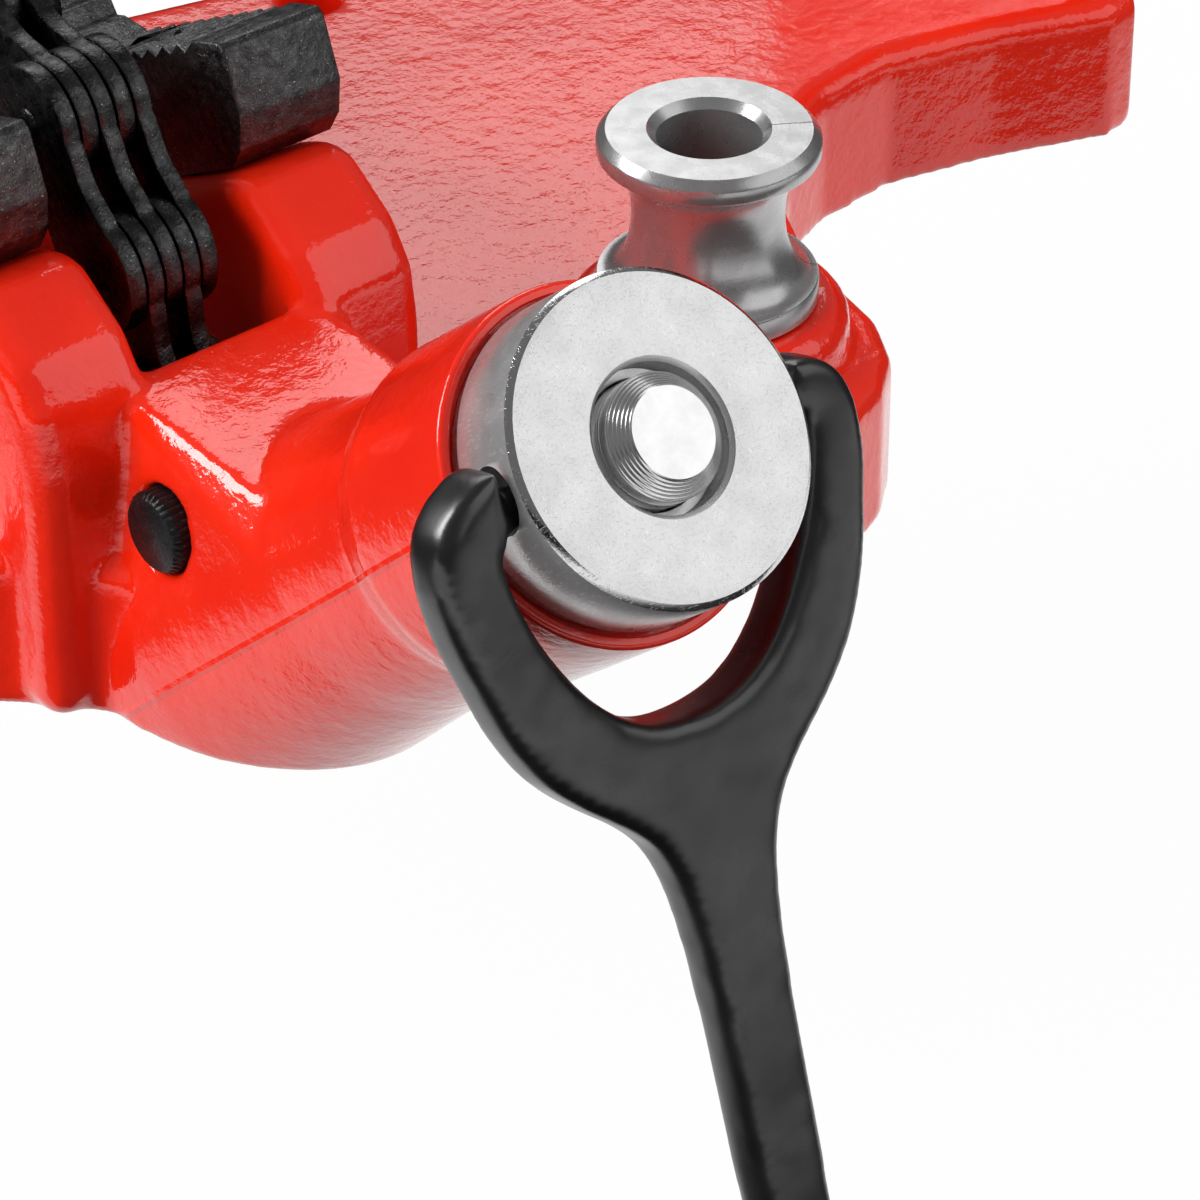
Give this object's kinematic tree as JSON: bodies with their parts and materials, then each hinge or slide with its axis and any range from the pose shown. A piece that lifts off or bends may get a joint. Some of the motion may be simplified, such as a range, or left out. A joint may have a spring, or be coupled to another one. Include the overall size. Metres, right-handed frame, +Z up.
{
  "type": "chain pipe vise",
  "caption": "Bench chain pipe vise: cast base with V jaws, leaf chain drawn in by a screw rod, round nut with a forked hanging handle, and a bending spool.",
  "frame": {"origin": "where the screw axis meets the plane of the base's underside, in the chain plane", "axes": "+X along the gripped pipe, towards the pipe rest; -Y towards the screw side; +Z up"},
  "size_m": [0.2961, 0.3198, 0.2423],
  "materials": {
    "red_coat": "glossy red coating over cast texture",
    "jaw_steel": "black oxide, grainy",
    "pin_steel": "black oxide",
    "screw_black": "black oxide",
    "chain_steel": "black oxide, worn edges",
    "plated_steel": "bright plated, fine scratches",
    "spool_steel": "turned and polished",
    "black_dip": "satin black vinyl dip"
  },
  "bodies": {
    "vise_body": {"base_casting": "red_coat", "jaw_left": "jaw_steel", "jaw_right": "jaw_steel", "jaw_screw_left_front": "screw_black", "jaw_screw_left_rear": "screw_black", "jaw_screw_right_front": "screw_black", "jaw_screw_right_rear": "screw_black", "guide_pin": "pin_steel", "thrust_washer": "plated_steel", "bending_spool": "spool_steel"},
    "roller": {"guide_roller": "pin_steel"},
    "screw": {"screw_rod": "plated_steel", "rod_clevis_pin": "pin_steel"},
    "nut": {"round_nut": "plated_steel"},
    "handle": {"fork_handle": "black_dip", "handle_bar": "black_dip"},
    "link_01": {"chain_link_01_plate_left": "chain_steel", "chain_link_01_plate_right": "chain_steel"},
    "link_02": {"chain_link_02": "chain_steel"},
    "link_03": {"chain_link_03_plate_left": "chain_steel", "chain_link_03_plate_right": "chain_steel"},
    "link_04": {"chain_link_04": "chain_steel"},
    "link_05": {"chain_link_05_plate_left": "chain_steel", "chain_link_05_plate_right": "chain_steel"},
    "link_06": {"chain_link_06": "chain_steel"},
    "link_07": {"chain_link_07_plate_left": "chain_steel", "chain_link_07_plate_right": "chain_steel"},
    "link_08": {"chain_link_08": "chain_steel"},
    "link_09": {"chain_link_09_plate_left": "chain_steel", "chain_link_09_plate_right": "chain_steel"},
    "link_10": {"chain_link_10": "chain_steel"}
  },
  "joints": [
    {"name": "nut_spin", "type": "hinge", "parent": "vise_body", "child": "nut", "pos_m": [0, -0.09885, 0.08443], "axis": [0, -0.7604, 0.6494], "range_deg": [-1080, 360]},
    {"name": "screw_travel", "type": "slide", "parent": "vise_body", "child": "screw", "axis": [0, -0.7604, 0.6494], "range_m": [-0.00255, 0.00763]},
    {"name": "handle_swing", "type": "hinge", "parent": "nut", "child": "handle", "pos_m": [0, -0.09885, 0.08443], "axis": [-1, 0, 0], "range_deg": [0, 218]},
    {"name": "roller_spin", "type": "hinge", "parent": "vise_body", "child": "roller", "pos_m": [0, -0.01446, 0.03773], "axis": [1, 0, 0], "continuous": true},
    {"name": "link_01_bend", "type": "hinge", "parent": "screw", "child": "link_01", "pos_m": [-0.0024, -0.02791, 0.02383], "axis": [1, 0, 0], "range_deg": [-16.4, 5.48]},
    {"name": "link_02_bend", "type": "hinge", "parent": "link_01", "child": "link_02", "pos_m": [-0.0024, -0.00319, 0.01799], "axis": [1, 0, 0], "range_deg": [-1.54, 0.52]},
    {"name": "link_03_bend", "type": "hinge", "parent": "link_02", "child": "link_03", "pos_m": [-0.0024, 0.01102, 0.03905], "axis": [1, 0, 0], "range_deg": [-5.98, 17.92]},
    {"name": "link_04_bend", "type": "hinge", "parent": "link_03", "child": "link_04", "pos_m": [-0.0024, 0.01886, 0.06321], "axis": [1, 0, 0], "range_deg": [-1.5, 14]},
    {"name": "link_05_bend", "type": "hinge", "parent": "link_04", "child": "link_05", "pos_m": [-0.0024, 0.0345, 0.08322], "axis": [1, 0, 0], "range_deg": [-1.5, 14]},
    {"name": "link_06_bend", "type": "hinge", "parent": "link_05", "child": "link_06", "pos_m": [-0.0024, 0.05837, 0.09191], "axis": [1, 0, 0], "range_deg": [-1.5, 14]},
    {"name": "link_07_bend", "type": "hinge", "parent": "link_06", "child": "link_07", "pos_m": [-0.0024, 0.08371, 0.09368], "axis": [1, 0, 0], "range_deg": [-1.5, 14]},
    {"name": "link_08_bend", "type": "hinge", "parent": "link_07", "child": "link_08", "pos_m": [-0.0024, 0.10812, 0.08668], "axis": [1, 0, 0], "range_deg": [-1.5, 14]},
    {"name": "link_09_bend", "type": "hinge", "parent": "link_08", "child": "link_09", "pos_m": [-0.0024, 0.1264, 0.06903], "axis": [1, 0, 0], "range_deg": [-1.5, 14]},
    {"name": "link_10_bend", "type": "hinge", "parent": "link_09", "child": "link_10", "pos_m": [-0.0024, 0.13424, 0.04488], "axis": [1, 0, 0], "range_deg": [-3, 25]}
  ],
  "couplings": [
    {"joint": "screw_travel", "follows": "nut_spin", "m_per_rad": -0.00040425},
    {"joint": "link_01_bend", "follows": "nut_spin", "ratio": 0.015169},
    {"joint": "link_02_bend", "follows": "nut_spin", "ratio": 0.0014111},
    {"joint": "link_03_bend", "follows": "nut_spin", "ratio": -0.016581}
  ]
}
